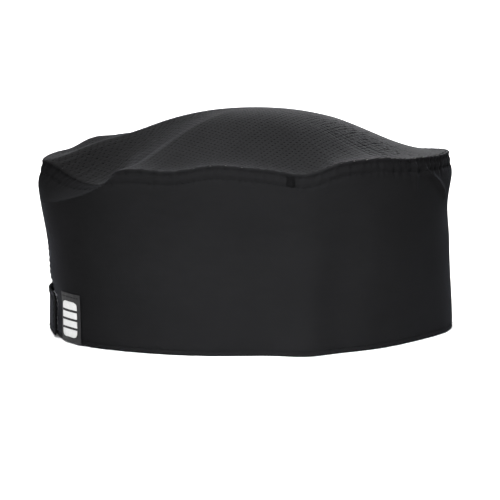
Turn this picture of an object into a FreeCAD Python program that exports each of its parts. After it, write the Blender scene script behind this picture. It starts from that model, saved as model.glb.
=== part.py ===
import FreeCAD, Part
import math
import os
import Sketcher

# A low chef's cap: a two-layer twill band with a domed mesh crown sewn into its top, and a hook-and-loop
# strap across a slit at the back. The cap stands on its hem. +Z is up, the front is -Y, the wearer's left
# is +X, and the origin is the middle of the head opening, in the plane of the hem. Sizes are millimetres.

DIMENSIONS = [
    # the cap
    ("cap_length", 208.0, "outside of the band, front to back"),
    ("cap_width", 160.0, "outside of the band, side to side"),
    ("band_height", 88.0, "hem to crown seam"),
    ("crown_rise", 25.0, "crown seam to the top of the dome"),
    # the layers of the wall
    ("twill", 0.5, "one layer of the band's twill"),
    ("hem_fold", 1.0, "height of the fold at the hem, where the band's layers meet"),
    ("mesh", 0.5, "the crown's mesh"),
    ("interlining", 0.3, "stiffener between the band's layers"),
    ("layer_gap", 0.05, "air between two layers"),
    ("seam_allowance", 10.0, "edge of the crown that hangs between the band's layers"),
    # stitching
    ("thread", 0.25, "how far a thread stands proud"),
    ("thread_width", 0.5, "width of a line of stitches"),
    ("topstitch_drop", 6.0, "topstitching below the crown seam"),
    ("hem_stitch_rise", 2.5, "hem stitching above the hem"),
    ("edge_stitch", 2.0, "stitching inside a sewn edge"),
    ("bartack", 0.6, "how far a bartack stands proud"),
    # the slit at the back
    ("slit_center", 13.0, "middle of the slit, to the wearer's left of the back"),
    ("slit_width", 10.0, "at the hem"),
    ("slit_top_width", 3.0, "at its round top"),
    ("slit_height", 56.5, "hem to the middle of the round top"),
    # the closure
    ("strap_tip", -13.0, "free end of the strap"),
    ("strap_root", 46.0, "sewn end of the strap"),
    ("strap_bottom", 1.0, "lower edge of the strap above the hem"),
    ("strap_height", 22.0, "height of the strap"),
    ("strap_cloth", 0.35, "one layer of the strap's twill"),
    ("tape", 0.5, "thickness of the hook tape and of the loop tape"),
    ("tape_margin", 2.0, "strap showing round the hook tape"),
    ("tape_end", 7.0, "inner end of both tapes, next to the slit"),
    # the labels
    ("tag_left", -40.2, "outer side of the woven tag"),
    ("tag_right", -23.0, "side of the tag next to the strap"),
    ("tag_height", 25.0, "height of the woven tag, which is folded round the hem"),
    ("tag", 0.4, "thickness of the woven tag"),
    ("tag_border", 2.2, "dark edge beside the tag's emblem"),
    ("emblem_bottom", 3.0, "lower edge of the emblem above the hem"),
    ("emblem_height", 18.0, "height of the emblem"),
    ("care_width", 30.0, "width of the care label"),
    ("care_height", 45.0, "height of the care label"),
    ("care", 0.3, "thickness of the care label"),
    ("care_hinge", 72.0, "sewn top edge of the care label above the hem"),
    ("care_inset", 3.15, "outer face of the care label inside the band's outer face"),
]

CROWN_POWER = 1.2  # above 1 widens the top of the dome
CROWN_STATIONS = 9
STRIP_STATIONS = 12
TOPSTITCH_START_Y = -9.0  # where the topstitching starts and ends, on the wearer's right
HUGE = 300.0  # longer than the cap in any direction
OVERCUT = 1.0
OUTLINE_MARGIN = 10.0  # from a sketch's origin to the foot of the slit
BAND_LAYERS = ("band_outer", "band_interlining", "band_facing")
WALL_PANELS = 16  # how many faces go round each layer of the band

# Depths below the band's outer face, as expressions on the sheet. What is outside it is negative.
CROWN_DEPTH = "(dims.twill + dims.layer_gap)"
INTERLINING_DEPTH = f"({CROWN_DEPTH} + dims.mesh + dims.layer_gap)"
FACING_DEPTH = f"({INTERLINING_DEPTH} + dims.interlining + dims.layer_gap)"
INSIDE = f"({FACING_DEPTH} + dims.twill)"
OUTSIDE_THREAD = "(0 - dims.layer_gap - dims.thread)"
INSIDE_THREAD = f"({INSIDE} + dims.layer_gap)"
# How far what is sewn on stands off the cap, because it lies over the hem stitching.
APPLIED = "(dims.layer_gap * 2 + dims.thread)"
FACING_TOP = "(dims.band_height - dims.mesh - 2 * dims.layer_gap)"
STRAP_TOP = "(dims.strap_bottom + dims.strap_height)"

doc = FreeCAD.newDocument("chef_cap")
V = FreeCAD.Vector
parts = {}


def make_sheet():
    sheet = doc.addObject("Spreadsheet::Sheet", "dims")
    for row, (alias, value, note) in enumerate(DIMENSIONS, 1):
        sheet.set(f"A{row}", alias)
        sheet.set(f"B{row}", str(value))
        sheet.setAlias(f"B{row}", alias)
        sheet.set(f"C{row}", note)
    doc.recompute()
    return sheet


sheet = make_sheet()


def dim(alias):
    return float(sheet.get(alias))


def bind(thing, **expressions):
    """Binds properties of a document object to expressions on the sheet."""
    for name, expression in expressions.items():
        thing.setExpression(name, str(expression))


def bind_place(thing, prefix, x="0", y="0", z="0"):
    """Binds the position of a Placement or AttachmentOffset."""
    for axis, expression in zip("xyz", (x, y, z)):
        thing.setExpression(f"{prefix}.Base.{axis}", str(expression))


def origin_plane(body, role):
    return next(f for f in body.Origin.OriginFeatures if f.Role == role)


def new_sketch(body, name, plane):
    sketch = body.newObject("Sketcher::SketchObject", name)
    sketch.AttachmentSupport = [(origin_plane(body, plane), "")]
    sketch.MapMode = "FlatFace"
    return sketch


def drive(sketch, name, constraint, expression):
    """Adds a dimension to a sketch and binds it to the sheet."""
    index = sketch.addConstraint(constraint)
    sketch.renameConstraint(index, name)
    sketch.setExpression(f"Constraints.{name}", expression)


def add_oval(sketch, name, depth):
    """The outline of the cap, long axis along Y, pulled in by depth on every side."""
    half_length, half_width = dim("cap_length") / 2, dim("cap_width") / 2
    outline = Part.Ellipse(V(0, half_length, 0), V(half_width, 0, 0), V(0, 0, 0))
    oval = sketch.addGeometry(outline, False)
    sketch.exposeInternalGeometry(oval)
    long_axis, short_axis = oval + 1, oval + 2
    sketch.addConstraint(Sketcher.Constraint("Coincident", oval, 3, -1, 1))
    sketch.addConstraint(Sketcher.Constraint("Vertical", long_axis))
    length = Sketcher.Constraint("Distance", long_axis, 2 * half_length)
    width = Sketcher.Constraint("Distance", short_axis, 2 * half_width)
    drive(sketch, f"{name}_length", length, f"dims.cap_length - 2 * {depth}")
    drive(sketch, f"{name}_width", width, f"dims.cap_width - 2 * {depth}")


def pad_ring(body, name, depths, bottom, height):
    """A wall that follows the cap's outline: one or more pairs of ovals, padded upwards."""
    sketch = new_sketch(body, f"{name}_outline", "XY_Plane")
    for number, depth in enumerate(depths):
        add_oval(sketch, f"oval{number}", depth)
    bind_place(sketch, "AttachmentOffset", z=bottom)
    pad = body.newObject("PartDesign::Pad", name)
    pad.Profile = sketch
    bind(pad, Length=height)
    sketch.Visibility = False
    return pad


def add_slit_outline(sketch, name, grow):
    """The tall narrow opening with a round top, widened by grow on every side. It runs below the hem.
    The margin keeps every coordinate of the sketch above zero."""
    margin = f"({OUTLINE_MARGIN} + dims.slit_width / 2)"
    middle, arch_height = margin, f"{OUTLINE_MARGIN} + {OVERCUT} + dims.slit_height"
    half_foot, half_top = f"(dims.slit_width / 2 + {grow})", f"(dims.slit_top_width / 2 + {grow})"
    rows = {
        "left": f"{middle} - {half_foot}",
        "right": f"{middle} + {half_foot}",
        "foot": f"{OUTLINE_MARGIN} - {grow}",
        "arch": arch_height,
        "arch_left": f"{middle} - {half_top}",
        "arch_right": f"{middle} + {half_top}",
    }
    at = {row: float(sketch.evalExpression(expression)) for row, expression in rows.items()}
    feet = [V(at["left"], at["foot"], 0), V(at["right"], at["foot"], 0)]
    shoulders = [V(at["arch_right"], at["arch"], 0), V(at["arch_left"], at["arch"], 0)]
    radius = (at["arch_right"] - at["arch_left"]) / 2
    crest = Part.Circle((shoulders[0] + shoulders[1]) / 2, V(0, 0, 1), radius)
    base = sketch.addGeometry(Part.LineSegment(feet[0], feet[1]), False)
    right = sketch.addGeometry(Part.LineSegment(feet[1], shoulders[0]), False)
    arch = sketch.addGeometry(Part.ArcOfCircle(crest, 0, math.pi), False)
    left = sketch.addGeometry(Part.LineSegment(shoulders[1], feet[0]), False)
    for join in [(base, 2, right, 1), (right, 2, arch, 1), (arch, 2, left, 1), (left, 2, base, 1)]:
        sketch.addConstraint(Sketcher.Constraint("Coincident", *join))
    sketch.addConstraint(Sketcher.Constraint("Horizontal", base))
    ends = [
        ("left", base, 1, "DistanceX"),
        ("right", base, 2, "DistanceX"),
        ("foot", base, 1, "DistanceY"),
        ("arch_right", arch, 1, "DistanceX"),
        ("arch_left", arch, 2, "DistanceX"),
        ("arch", arch, 1, "DistanceY"),
        ("arch", arch, 2, "DistanceY"),
        ("arch", arch, 3, "DistanceY"),
    ]
    for row, curve, point, kind in ends:
        constraint = Sketcher.Constraint(kind, -1, 1, curve, point, at[row])
        drive(sketch, f"{name}_{row}_{curve}_{point}", constraint, rows[row])


def place_slit_sketch(sketch):
    x = f"dims.slit_center - dims.slit_width / 2 - {OUTLINE_MARGIN}"
    bind_place(sketch, "AttachmentOffset", x=x, y=f"-{OVERCUT} - {OUTLINE_MARGIN}")


def cut_slit(body):
    """Opens the slit through a wall, at the back only: the pocket runs from the cap's middle to +Y."""
    sketch = new_sketch(body, "slit_outline", "XZ_Plane")
    add_slit_outline(sketch, "slit", "0")
    place_slit_sketch(sketch)
    pocket = body.newObject("PartDesign::Pocket", "slit")
    pocket.Profile = sketch
    pocket.Length = HUGE
    sketch.Visibility = False
    return pocket


def cut_window(body, name, left, right, bottom, top):
    """Cuts a rectangular window through the back of a wall."""
    sketch = new_sketch(body, f"{name}_outline", "XZ_Plane")
    corners = [V(0, 0, 0), V(1, 0, 0), V(1, 1, 0), V(0, 1, 0)]
    sides = []
    for start, end in zip(corners, corners[1:] + corners[:1]):
        sides.append(sketch.addGeometry(Part.LineSegment(start, end), False))
    for side, following in zip(sides, sides[1:] + sides[:1]):
        sketch.addConstraint(Sketcher.Constraint("Coincident", side, 2, following, 1))
    for side in (0, 2):
        sketch.addConstraint(Sketcher.Constraint("Horizontal", sides[side]))
    for side in (1, 3):
        sketch.addConstraint(Sketcher.Constraint("Vertical", sides[side]))
    sketch.addConstraint(Sketcher.Constraint("Coincident", sides[0], 1, -1, 1))
    drive(sketch, "width", Sketcher.Constraint("Distance", sides[0], 1.0), f"{right} - ({left})")
    drive(sketch, "height", Sketcher.Constraint("Distance", sides[1], 1.0), f"{top} - ({bottom})")
    bind_place(sketch, "AttachmentOffset", x=left, y=bottom)
    pocket = body.newObject("PartDesign::Pocket", name)
    pocket.Profile = sketch
    pocket.Length = HUGE
    sketch.Visibility = False
    return pocket


def oval_prism(name, depth, bottom, height):
    """A solid of the cap's outline pulled in by depth."""
    outline = doc.addObject("Part::Ellipse", f"{name}_outline")
    outline.Placement = FreeCAD.Placement(V(0, 0, 0), FreeCAD.Rotation(V(0, 0, 1), 90))
    bind(outline, MajorRadius=f"dims.cap_length / 2 - {depth}", MinorRadius=f"dims.cap_width / 2 - {depth}")
    bind_place(outline, "Placement", z=bottom)
    prism = doc.addObject("Part::Extrusion", name)
    prism.Base = outline
    prism.DirMode = "Custom"
    prism.Dir = V(0, 0, 1)
    prism.Solid = True
    bind(prism, LengthFwd=height)
    return prism


def block(name, low, high):
    """A box from its low corner to its high corner, both given as expressions."""
    box = doc.addObject("Part::Box", name)
    sizes = [f"({top}) - ({bottom})" for bottom, top in zip(low, high)]
    bind(box, Length=sizes[0], Width=sizes[1], Height=sizes[2])
    bind_place(box, "Placement", *low)
    return box


def cut(name, base, tool):
    result = doc.addObject("Part::Cut", name)
    result.Base = base
    result.Tool = tool
    return result


def common(name, base, tool):
    result = doc.addObject("Part::Common", name)
    result.Base = base
    result.Tool = tool
    return result


def oval_wall(name, depth, thickness, bottom, height):
    """A closed wall that follows the cap's outline, its outer face at depth under the band's face."""
    outer = oval_prism(f"{name}_outer", depth, bottom, height)
    inner = oval_prism(f"{name}_inner", f"({depth} + {thickness})", bottom, height)
    return cut(f"{name}_wall", outer, inner)


def wall_patch(name, depth, thickness, low, high):
    """The piece of such a wall that lies in a box, whose low and high corners are expressions."""
    wall = oval_wall(name, depth, thickness, low[2], f"({high[2]}) - ({low[2]})")
    return common(name, wall, block(f"{name}_block", low, high))


def back_patch(name, depth, thickness, left, right, bottom, top):
    """The piece of a wall at the back of the cap, between two abscissas and two heights."""
    return wall_patch(name, depth, thickness, [left, "0", bottom], [right, HUGE, top])


def back_frame(name, depth, thickness, left, right, bottom, top, line):
    """The rim of a back patch, as wide as a line of stitches."""
    whole = back_patch(f"{name}_whole", depth, thickness, left, right, bottom, top)
    inner_sides = [f"{left} + {line}", f"{right} - {line}", f"{bottom} + {line}", f"{top} - {line}"]
    middle = back_patch(f"{name}_middle", depth, thickness, *inner_sides)
    return cut(name, whole, middle)


def keep(label, piece):
    """Makes a document object a sub-part, under its own label."""
    piece.Label = label
    parts[label] = piece


def keep_together(label, pieces):
    """Several shapes as one sub-part. Pieces that don't touch stay separate solids."""
    group = doc.addObject("Part::MultiFuse", label)
    group.Shapes = pieces
    keep(label, group)


def keep_shape(label, shape):
    piece = doc.addObject("Part::Feature", label)
    piece.Shape = shape
    piece.Placement = FreeCAD.Placement()
    keep(label, piece)


def new_body(label):
    body = doc.addObject("PartDesign::Body", label)
    keep(label, body)
    return body


# ---- the band ----


def with_short_faces(wall):
    """The same solid with its faces split along upright lines, so that a mesh of a wall this thin keeps
    its thickness all the way round."""
    cutters = []
    for i in range(WALL_PANELS):
        angle = 2 * math.pi * (i + 0.5) / WALL_PANELS
        x, y = HUGE * math.cos(angle), HUGE * math.sin(angle)
        corners = [V(0, 0, -OVERCUT), V(x, y, -OVERCUT), V(x, y, HUGE), V(0, 0, HUGE)]
        cutters.append(Part.Face(Part.makePolygon(corners + corners[:1])))
    panels = wall.generalFuse(cutters)[0].Solids
    return panels[0].multiFuse(panels[1:]).Solids[0]


def make_band():
    """Two layers of twill that meet in the folded hem, with a stiffener and the crown's edge between."""
    gap = "dims.layer_gap"
    outer = new_body("band_outer")
    pad_ring(outer, "outer_wall", ["0", "dims.twill"], "0", "dims.band_height")
    pad_ring(outer, "hem_fold", ["0", INSIDE], "0", "dims.hem_fold")
    cut_slit(outer)
    left, right = f"dims.tag_left - {gap}", f"dims.tag_right + {gap}"
    cut_window(outer, "tag_notch", left, right, f"-{OVERCUT}", f"dims.tag + {gap}")

    interlining = new_body("band_interlining")
    depths = [INTERLINING_DEPTH, f"({INTERLINING_DEPTH} + dims.interlining)"]
    bottom = f"(dims.hem_fold + 2 * {gap})"
    pad_ring(interlining, "stiffener", depths, bottom, f"{FACING_TOP} - {bottom}")
    cut_slit(interlining)

    facing = new_body("band_facing")
    bottom = f"(dims.hem_fold + {gap})"
    pad_ring(facing, "inner_wall", [FACING_DEPTH, INSIDE], bottom, f"{FACING_TOP} - {bottom}")
    cut_slit(facing)


# ---- the crown ----


def crown_height(share):
    """How high the dome stands above the seam, at a share of the way from the middle to the seam."""
    return dim("crown_rise") * math.cos(math.pi / 2 * share**CROWN_POWER) ** 2


def level_spline(points):
    """A smooth curve through points that is level at both ends."""
    curve = Part.BSplineCurve()
    curve.interpolate(points, InitialTangent=V(1, 0, 0), FinalTangent=V(1, 0, 0))
    return curve.toShape()


def make_crown():
    """The mesh dome and the edge of it that hangs in the seam. The profile is turned about Z, and then
    narrowed to the oval, which neither a revolution nor a loft gives."""
    depth = dim("twill") + dim("layer_gap")
    radius, mesh, seam = dim("cap_length") / 2 - depth, dim("mesh"), dim("band_height")
    shares = [i / (CROWN_STATIONS - 1) for i in range(CROWN_STATIONS)]
    outside = [V(radius * s, 0, seam + crown_height(s)) for s in shares]
    inside = [V((radius - mesh) * s, 0, seam + crown_height(s) - mesh) for s in shares]
    edge_bottom = seam - dim("seam_allowance")
    edge = [outside[-1], V(radius, 0, edge_bottom), V(radius - mesh, 0, edge_bottom), inside[-1]]
    edges = [level_spline(outside), level_spline(inside), Part.makeLine(inside[0], outside[0])]
    edges += [Part.makeLine(start, end) for start, end in zip(edge, edge[1:])]
    profile = Part.Face(Part.Wire(Part.__sortEdges__(edges)))
    dome = profile.revolve(V(0, 0, 0), V(0, 0, 1), 360)
    narrow = FreeCAD.Matrix()
    narrow.scale((dim("cap_width") / 2 - depth) / radius, 1, 1)
    keep_shape("crown_mesh", dome.transformGeometry(narrow))


# ---- lines of stitches ----


def thread_ring(label, middle, outside=True):
    """A line of stitches round the cap: the bobbin thread inside and the needle thread outside."""
    body = new_body(label)
    depths = [INSIDE_THREAD, f"({INSIDE_THREAD} + dims.thread)"]
    if outside:
        depths += [OUTSIDE_THREAD, f"({OUTSIDE_THREAD} + dims.thread)"]
    pad_ring(body, "stitches", depths, f"{middle} - dims.thread_width / 2", "dims.thread_width")
    return body


def make_slit_stitching():
    """An upside-down U of stitches along both edges of the slit and over its round top."""
    path = doc.addObject("PartDesign::Body", "slit_stitch_path")
    sketch = new_sketch(path, "slit_stitch_outline", "XZ_Plane")
    add_slit_outline(sketch, "far", "(dims.edge_stitch + dims.thread_width)")
    add_slit_outline(sketch, "near", "dims.edge_stitch")
    place_slit_sketch(sketch)
    pad = path.newObject("PartDesign::Pad", "slit_stitch_prism")
    pad.Profile = sketch
    pad.Length = HUGE
    pad.Reversed = True
    bottom, height = "(dims.hem_stitch_rise + dims.thread_width)", "dims.band_height - dims.seam_allowance"
    lines = []
    for side, depth in (("outside", OUTSIDE_THREAD), ("inside", INSIDE_THREAD)):
        wall = oval_wall(f"slit_{side}", depth, "dims.thread", bottom, height)
        lines.append(common(f"slit_{side}_line", wall, path))
    keep_together("slit_stitching", lines)


def make_stitching():
    thread_ring("crown_topstitching", "dims.band_height - dims.topstitch_drop")
    thread_ring("facing_stitching", f"{FACING_TOP} - dims.edge_stitch", outside=False)
    hem = thread_ring("hem_stitching", "dims.hem_stitch_rise")
    cut_slit(hem)
    make_slit_stitching()


def make_bartacks():
    """Short bars of dense thread that hold the ends of seams."""
    proud = "(0 - dims.layer_gap - dims.bartack)"
    length = "3 * dims.thread_width"
    left, right = (f"dims.slit_center {sign} dims.slit_width / 2" for sign in "-+")
    bottom = "(dims.slit_height + dims.slit_top_width / 2 + dims.edge_stitch + 2 * dims.thread_width)"
    bar = back_patch("slit_bar", proud, "dims.bartack", left, right, bottom, f"{bottom} + {length}")
    keep("slit_bartack", bar)

    left = "dims.strap_root + dims.bartack"
    bottom, top = "dims.strap_bottom + dims.edge_stitch", f"{STRAP_TOP} - dims.edge_stitch"
    bar = back_patch("strap_bar", proud, "dims.bartack", left, f"{left} + {length}", bottom, top)
    keep("strap_bartack", bar)

    bottom = "dims.band_height - dims.topstitch_drop + dims.thread_width"
    low = [-HUGE, TOPSTITCH_START_Y, bottom]
    high = ["0", f"{TOPSTITCH_START_Y} + 2 * dims.thread_width", "dims.band_height - dims.thread_width"]
    keep("topstitch_bartack", wall_patch("topstitch_bar", proud, "dims.bartack", low, high))


# ---- the closure strap ----


def band_point(x, standoff, height):
    """A point at the back of the cap, standoff outside the band's outer face."""
    half_length, half_width = dim("cap_length") / 2, dim("cap_width") / 2
    y = half_length * math.sqrt(1 - (x / half_width) ** 2)
    outward = V(x / half_width**2, y / half_length**2, 0).normalize()
    return V(x, y, height) + outward * standoff


def strap_standoff(x):
    """The strap's inner face lies on the band at its sewn end and climbs over both tapes to its tip."""
    sewn_end = 2 * dim("layer_gap") + dim("thread")
    over_tapes = 2 * dim("tape") + 2 * dim("layer_gap")
    start = dim("slit_center") + 1.5 * dim("slit_width")
    end = dim("tape_end") + dim("tape_margin")
    share = min(1.0, max(0.0, (start - x) / (start - end)))
    return sewn_end + over_tapes * share * share * (3 - 2 * share)


def strap_layer(start, end, depth, thickness, bottom, top):
    """A strip that follows the strap, its own inner face at depth outside the strap's inner face."""
    stations = [start + (end - start) * i / STRIP_STATIONS for i in range(STRIP_STATIONS + 1)]
    near = [band_point(x, strap_standoff(x) + depth, bottom) for x in stations]
    far = [band_point(x, strap_standoff(x) + depth + thickness, bottom) for x in stations]
    edges = [Part.makeLine(near[0], far[0]), Part.makeLine(near[-1], far[-1])]
    for points in (near, far):
        curve = Part.BSplineCurve()
        curve.interpolate(points)
        edges.append(curve.toShape())
    outline = Part.Wire(Part.__sortEdges__(edges))
    return Part.Face(outline).extrude(V(0, 0, top - bottom))


def strap_stitches(start, end, depth, bottom, top):
    """A rectangle of stitches on the strap: a thin strip with its middle cut out."""
    thread, line = dim("thread"), dim("thread_width")
    whole = strap_layer(start, end, depth, thread, bottom, top)
    middle = strap_layer(
        start + line, end - line, depth - OVERCUT, thread + 2 * OVERCUT, bottom + line, top - line
    )
    return whole.cut(middle)


def make_strap():
    """A flat sleeve of twill round a stiffener, with hook tape sewn inside its free end. Its outline is a
    spline at a changing distance from the band, which no sketch or primitive gives."""
    tip, root = dim("strap_tip"), dim("strap_root")
    bottom, top = dim("strap_bottom"), dim("strap_bottom") + dim("strap_height")
    cloth, gap, stiffener = dim("strap_cloth"), dim("layer_gap"), dim("interlining")
    inset = cloth + gap
    total = 2 * inset + stiffener

    sleeve = strap_layer(tip, root, 0, total, bottom, top)
    hollow = strap_layer(
        tip + cloth, root + OVERCUT, cloth, stiffener + 2 * gap, bottom + cloth, top - cloth
    )
    keep_shape("closure_strap", sleeve.cut(hollow))
    filling = strap_layer(tip + inset, root, inset, stiffener, bottom + inset, top - inset)
    keep_shape("strap_interlining", filling)

    edge = dim("edge_stitch")
    stitches = strap_stitches(tip + edge, root - edge, total + gap, bottom + edge, top - edge)
    keep_shape("strap_stitching", stitches)

    margin, tape = dim("tape_margin"), dim("tape")
    tape_end = dim("tape_end")
    hooks = strap_layer(tip + margin, tape_end, -gap - tape, tape, bottom + margin, top - margin)
    keep_shape("hook_tape", hooks)
    second_line = edge + 3 * dim("thread_width")
    stitches = strap_stitches(
        tip + second_line, tape_end, total + gap, bottom + second_line, top - second_line
    )
    keep_shape("hook_tape_stitching", stitches)


def make_loop_tape():
    """The soft half of the fastener, sewn to the band beside the slit, under the strap. Its stitches lie
    sunk in the pile, in a groove that clears the thread all round."""
    margin, gap = "dims.tape_margin", "dims.layer_gap"
    left, right = f"dims.strap_tip + {margin}", "dims.tape_end"
    bottom, top = f"dims.strap_bottom + {margin}", f"{STRAP_TOP} - {margin}"
    face = f"(0 - {APPLIED} - dims.tape)"
    tape = back_patch("loop_pile", face, "dims.tape", left, right, bottom, top)
    inset = "2 * dims.thread_width"
    sides = [f"{left} + {inset}", f"{right} - {inset}", f"{bottom} + {inset}", f"{top} - {inset}"]
    groove = back_frame("loop_groove", face, "dims.thread", *sides, "dims.thread_width")
    keep("loop_tape", cut("loop_tape", tape, groove))

    sides = [f"{side} {sign} {gap}" for side, sign in zip(sides, "+-+-")]
    thin, narrow = f"(dims.thread - 2 * {gap})", f"(dims.thread_width - 2 * {gap})"
    stitches = back_frame("loop_tape_stitching", f"({face} + {gap})", thin, *sides, narrow)
    keep("loop_tape_stitching", stitches)


# ---- the labels ----


def make_tag():
    """A woven tag folded round the hem: a leaf outside, a leaf inside, and a fold under both."""
    left, right, top = "dims.tag_left", "dims.tag_right", "dims.tag_height"
    outside, inside = f"(0 - {APPLIED} - dims.tag)", f"({INSIDE} + {APPLIED})"
    across = f"({inside} + dims.tag - {outside})"
    leaves = [
        back_patch("tag_front", outside, "dims.tag", left, right, "0", top),
        back_patch("tag_back", inside, "dims.tag", left, right, "0", top),
        back_patch("tag_fold", outside, across, left, right, "0", "dims.tag"),
    ]
    keep_together("woven_tag", leaves)

    face = f"({outside} - dims.layer_gap - dims.thread)"
    left, right = "dims.tag_left + dims.tag_border", "dims.tag_right - dims.tag_border"
    bottom, top = "dims.emblem_bottom", "dims.emblem_bottom + dims.emblem_height"
    keep("tag_emblem", back_patch("tag_picture", face, "dims.thread", left, right, bottom, top))

    left, right = "dims.tag_left + 2 * dims.thread_width", "dims.tag_right - 2 * dims.thread_width"
    bottom = "dims.tag_height - dims.edge_stitch"
    lines = []
    for side, depth in (("outside", face), ("inside", f"({inside} + dims.tag + dims.layer_gap)")):
        name = f"tag_{side}_line"
        top = f"{bottom} + dims.thread_width"
        lines.append(back_patch(name, depth, "dims.thread", left, right, bottom, top))
    keep_together("tag_stitching", lines)


def make_care_label():
    """A ribbon that hangs inside the band on the wearer's left, sewn along its top edge only."""
    outer_face = "(dims.cap_width / 2 - dims.care_inset)"
    inner_face = f"({outer_face} - dims.care)"
    top = "(dims.care_hinge - dims.care)"
    low = [inner_face, "-dims.care_width / 2", f"{top} - dims.care_height"]
    keep("care_label", block("care_ribbon", low, [outer_face, "dims.care_width / 2", top]))

    margin = "2 * dims.thread_width"
    low = [inner_face, f"-dims.care_width / 2 + {margin}", "dims.care_hinge"]
    high = ["dims.cap_width / 2", f"dims.care_width / 2 - {margin}", "dims.care_hinge + dims.thread_width"]
    hollow = oval_prism("care_hollow", INSIDE_THREAD, "0", "dims.band_height")
    keep("care_label_stitching", common("care_stitches", hollow, block("care_stitch_block", low, high)))


def check_and_write():
    doc.recompute()
    failed = [o.Label for o in doc.Objects if {"Invalid", "Error"} & set(o.State)]
    if failed:
        raise RuntimeError(f"these objects didn't recompute: {failed}")
    os.makedirs("parts", exist_ok=True)
    for label, piece in parts.items():
        shape = with_short_faces(piece.Shape) if label in BAND_LAYERS else piece.Shape
        if shape.isNull() or not shape.isValid() or not shape.Solids:
            raise RuntimeError(f"{label} has no valid solid")
        box = shape.BoundBox
        corner = [round(v, 2) for v in (box.XMin, box.YMin, box.ZMin, box.XMax, box.YMax, box.ZMax)]
        print(f"{label:22s} {len(shape.Solids):2d} solids {shape.Volume:10.2f} mm3  {corner}")
        shape.exportStep(f"parts/{label}.step")


make_band()
make_crown()
make_stitching()
make_bartacks()
make_strap()
make_loop_tape()
make_tag()
make_care_label()
check_and_write()
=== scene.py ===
"""A black chef's cap: a twill band, a mesh crown, and a hook-and-loop strap over a slit at the back.

Lengths are in metres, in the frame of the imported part: +Z is up, +Y is the back of the cap and -X is the
wearer's right. Places round the cap are angles in degrees, from 0 at the wearer's left, through 90 at the
back, 180 at the wearer's right and 270 at the front. The band, its layers and everything sewn to it follow
one function, face(), so they crease together.
"""

import math

import bpy
import numpy as np
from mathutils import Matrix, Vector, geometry


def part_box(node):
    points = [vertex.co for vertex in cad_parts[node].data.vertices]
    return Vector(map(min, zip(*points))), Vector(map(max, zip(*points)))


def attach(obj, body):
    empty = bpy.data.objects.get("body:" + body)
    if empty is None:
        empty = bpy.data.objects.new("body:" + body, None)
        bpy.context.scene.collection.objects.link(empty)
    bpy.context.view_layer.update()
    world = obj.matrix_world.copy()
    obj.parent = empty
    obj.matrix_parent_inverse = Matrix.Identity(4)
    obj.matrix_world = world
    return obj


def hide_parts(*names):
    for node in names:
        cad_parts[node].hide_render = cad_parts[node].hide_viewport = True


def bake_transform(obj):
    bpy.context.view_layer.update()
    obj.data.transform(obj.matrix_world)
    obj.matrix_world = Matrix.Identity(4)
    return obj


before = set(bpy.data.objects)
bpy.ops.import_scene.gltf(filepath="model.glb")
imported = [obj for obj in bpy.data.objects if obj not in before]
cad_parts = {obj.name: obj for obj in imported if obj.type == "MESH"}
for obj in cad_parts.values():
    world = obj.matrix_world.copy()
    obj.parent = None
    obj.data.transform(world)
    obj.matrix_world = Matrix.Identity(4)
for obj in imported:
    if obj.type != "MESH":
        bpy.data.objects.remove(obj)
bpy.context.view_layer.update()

MM = 0.001


# ---- sizes, from the frame ----


def low(node):
    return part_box(node)[0]


def high(node):
    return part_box(node)[1]


HALF_WIDTH = high("band_outer").x
HALF_LENGTH = high("band_outer").y
BAND_HEIGHT = high("band_outer").z
CROWN_RISE = high("crown_mesh").z - BAND_HEIGHT


def span(node, axis):
    """Where a node starts and ends along an axis."""
    return getattr(low(node), axis), getattr(high(node), axis)


def middle_of(node, axis):
    return sum(span(node, axis)) / 2


def depth_of(node):
    """How far a layer's outer face lies under the band's outer face."""
    return HALF_WIDTH - high(node).x


TWILL = 0.5 * MM
CROWN_DEPTH = depth_of("crown_mesh")
CROWN_CLOTH = 0.5 * MM
INTERLINING_DEPTH = depth_of("band_interlining")
FACING_DEPTH = depth_of("band_facing")
BAND_DEPTH = FACING_DEPTH + TWILL
LAYER_GAP = 0.05 * MM
STIFFENER_FOOT = FACING_DEPTH - LAYER_GAP  # the depth of its inner face
THREAD = 0.15 * MM  # the radius of a stitch
STITCH, STITCH_GAP = 2.4 * MM, 0.5 * MM
BAR_THREAD, BAR_PITCH = 0.24 * MM, 0.42 * MM  # the radius of a bartack's threads, and how close they lie

TOPSTITCH_RISE = middle_of("crown_topstitching", "z")
HEM_STITCH_RISE = middle_of("hem_stitching", "z")
FACING_STITCH_RISE = middle_of("facing_stitching", "z")

SLIT_X = middle_of("slit_bartack", "x")
SLIT_FOOT = (high("slit_bartack").x - low("slit_bartack").x) / 2
SLIT_TOP = 1.5 * MM  # half the width at the foot of the round top
SLIT_HEIGHT = high("slit_stitching").z - 4 * MM


# ---- the shape of the band ----

# Where the cloth leaves the plain oval: the angle, the width of the bulge in degrees, and how far it goes
# outwards in millimetres.
HEM_BULGES = [
    (25, 18, -2.0), (58, 16, 1.5), (100, 22, -3.5), (140, 20, -2.5), (178, 16, -3.0), (190, 7, 5.5),
    (236, 28, -8.5), (275, 14, 1.0), (315, 22, -2.5), (345, 12, 2.0),
]
MIDDLE_BULGES = [(45, 30, 1.5), (97, 30, -3.2), (190, 10, 1.5), (265, 30, -1.5), (320, 26, 2.0)]
WAIST_BULGES = [(265, 30, -1.5), (30, 22, -1.5)]
TOP_BULGES = [(97, 24, 4.9), (125, 22, 3.0), (268, 24, -1.5)]
RIM_BULGES = [(90, 22, -2.5), (270, 20, -2.0)]
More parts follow.
